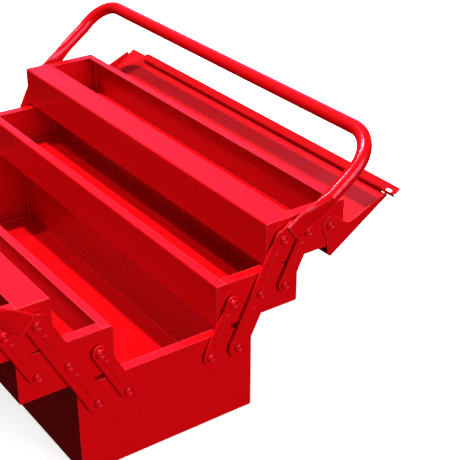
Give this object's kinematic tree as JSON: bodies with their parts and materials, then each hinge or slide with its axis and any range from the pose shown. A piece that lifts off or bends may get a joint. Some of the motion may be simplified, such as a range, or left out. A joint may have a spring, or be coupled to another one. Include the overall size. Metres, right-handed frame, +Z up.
{
  "type": "cantilever toolbox",
  "caption": "Folded sheet-steel cantilever toolbox with a deep base, trays that swing out on parallel links, hinged lids, a sliding lock bar and tubular handles.",
  "frame": {"origin": "on the floor under the middle of the base", "axes": "+X along the box, +Y to the rear, +Z up"},
  "size_m": [0.5706, 0.5674, 0.28],
  "materials": {
    "red_powder_coat": "gloss"
  },
  "bodies": {
    "base": {"base_end_panel_left": "red_powder_coat", "base_end_panel_right": "red_powder_coat", "base_end_tabs": "red_powder_coat", "base_pan": "red_powder_coat", "base_rivets": "red_powder_coat", "base_washers": "red_powder_coat"},
    "rear_handle_arms": {"rear_handle_tube": "red_powder_coat", "rear_long_arm_right": "red_powder_coat", "rear_long_arm_left": "red_powder_coat"},
    "rear_lower_links": {"rear_lower_link_right": "red_powder_coat", "rear_lower_link_left": "red_powder_coat"},
    "rear_middle_tray": {"rear_middle_tray_pan": "red_powder_coat", "rear_middle_tray_end_right": "red_powder_coat", "rear_middle_tray_end_left": "red_powder_coat", "rear_middle_tray_end_tabs": "red_powder_coat", "rear_middle_tray_rivets": "red_powder_coat", "rear_middle_tray_washers": "red_powder_coat"},
    "rear_upper_links": {"rear_upper_link_right": "red_powder_coat", "rear_upper_link_left": "red_powder_coat"},
    "rear_top_tray": {"rear_top_tray_pan": "red_powder_coat", "rear_top_tray_end_right": "red_powder_coat", "rear_top_tray_end_left": "red_powder_coat", "rear_top_tray_end_tabs": "red_powder_coat", "rear_top_tray_rivets": "red_powder_coat", "rear_top_tray_washers": "red_powder_coat"},
    "rear_lid": {"rear_lid_shell": "red_powder_coat", "rear_lid_end_right": "red_powder_coat", "rear_lid_end_left": "red_powder_coat"},
    "front_handle_arms": {"front_handle_tube": "red_powder_coat", "front_long_arm_right": "red_powder_coat", "front_long_arm_left": "red_powder_coat"},
    "front_lower_links": {"front_lower_link_right": "red_powder_coat", "front_lower_link_left": "red_powder_coat"},
    "front_middle_tray": {"front_middle_tray_pan": "red_powder_coat", "front_middle_tray_end_right": "red_powder_coat", "front_middle_tray_end_left": "red_powder_coat", "front_middle_tray_end_tabs": "red_powder_coat", "front_middle_tray_rivets": "red_powder_coat", "front_middle_tray_washers": "red_powder_coat"},
    "front_upper_links": {"front_upper_link_right": "red_powder_coat", "front_upper_link_left": "red_powder_coat"},
    "front_top_tray": {"front_top_tray_pan": "red_powder_coat", "front_top_tray_end_right": "red_powder_coat", "front_top_tray_end_left": "red_powder_coat", "front_top_tray_end_tabs": "red_powder_coat", "front_top_tray_rivets": "red_powder_coat", "front_top_tray_washers": "red_powder_coat"},
    "front_lid": {"front_lid_shell": "red_powder_coat", "front_lid_end_right": "red_powder_coat", "front_lid_end_left": "red_powder_coat", "front_lid_edge_strip": "red_powder_coat"},
    "lock_bar": {"lock_bar": "red_powder_coat", "lock_bar_rivets": "red_powder_coat"}
  },
  "joints": [
    {"name": "rear_arm_swing", "type": "hinge", "parent": "base", "child": "rear_handle_arms", "pos_m": [0, 0.0807, 0.0818], "axis": [1, 0, 0], "range_deg": [0, 57.25]},
    {"name": "rear_lower_link_swing", "type": "hinge", "parent": "base", "child": "rear_lower_links", "pos_m": [0, 0.0477, 0.0818], "axis": [1, 0, 0], "range_deg": [0, 57.35]},
    {"name": "rear_middle_tray_level", "type": "hinge", "parent": "rear_handle_arms", "child": "rear_middle_tray", "pos_m": [0, 0.10817, 0.13514], "axis": [1, 0, 0], "range_deg": [-57.35, 0]},
    {"name": "rear_top_tray_level", "type": "hinge", "parent": "rear_handle_arms", "child": "rear_top_tray", "pos_m": [0, 0.13564, 0.18848], "axis": [1, 0, 0], "range_deg": [-57.35, 0]},
    {"name": "rear_upper_link_swing", "type": "hinge", "parent": "rear_middle_tray", "child": "rear_upper_links", "pos_m": [0, 0.13917, 0.13514], "axis": [1, 0, 0], "range_deg": [0, 57.35]},
    {"name": "rear_lid_hinge", "type": "hinge", "parent": "rear_top_tray", "child": "rear_lid", "pos_m": [0, 0.19796, 0.18469], "axis": [1, 0, 0], "range_deg": [0, 146.85]},
    {"name": "front_arm_swing", "type": "hinge", "parent": "base", "child": "front_handle_arms", "pos_m": [0, -0.0807, 0.0818], "axis": [-1, 0, 0], "range_deg": [0, 57.25]},
    {"name": "front_lower_link_swing", "type": "hinge", "parent": "base", "child": "front_lower_links", "pos_m": [0, -0.0477, 0.0818], "axis": [-1, 0, 0], "range_deg": [0, 57.35]},
    {"name": "front_middle_tray_level", "type": "hinge", "parent": "front_handle_arms", "child": "front_middle_tray", "pos_m": [0, -0.10817, 0.13514], "axis": [-1, 0, 0], "range_deg": [-57.35, 0]},
    {"name": "front_top_tray_level", "type": "hinge", "parent": "front_handle_arms", "child": "front_top_tray", "pos_m": [0, -0.13564, 0.18848], "axis": [-1, 0, 0], "range_deg": [-57.35, 0]},
    {"name": "front_upper_link_swing", "type": "hinge", "parent": "front_middle_tray", "child": "front_upper_links", "pos_m": [0, -0.13917, 0.13514], "axis": [-1, 0, 0], "range_deg": [0, 57.35]},
    {"name": "front_lid_hinge", "type": "hinge", "parent": "front_top_tray", "child": "front_lid", "pos_m": [0, -0.19796, 0.18469], "axis": [-1, 0, 0], "range_deg": [0, 146.85]},
    {"name": "lock_bar_slide", "type": "slide", "parent": "rear_lid", "child": "lock_bar", "axis": [1, 0, 0], "range_m": [-0.01605, 0]}
  ],
  "couplings": [
    {"joint": "rear_lower_link_swing", "follows": "rear_arm_swing", "ratio": 1},
    {"joint": "rear_middle_tray_level", "follows": "rear_arm_swing", "ratio": -1},
    {"joint": "rear_top_tray_level", "follows": "rear_arm_swing", "ratio": -1},
    {"joint": "rear_upper_link_swing", "follows": "rear_arm_swing", "ratio": 1},
    {"joint": "rear_lid_hinge", "follows": "rear_arm_swing", "ratio": 2.5616},
    {"joint": "front_lower_link_swing", "follows": "front_arm_swing", "ratio": 1},
    {"joint": "front_middle_tray_level", "follows": "front_arm_swing", "ratio": -1},
    {"joint": "front_top_tray_level", "follows": "front_arm_swing", "ratio": -1},
    {"joint": "front_upper_link_swing", "follows": "front_arm_swing", "ratio": 1},
    {"joint": "front_lid_hinge", "follows": "front_arm_swing", "ratio": 2.5616},
    {"joint": "lock_bar_slide", "follows": "rear_arm_swing", "m_per_rad": -0.016013}
  ]
}
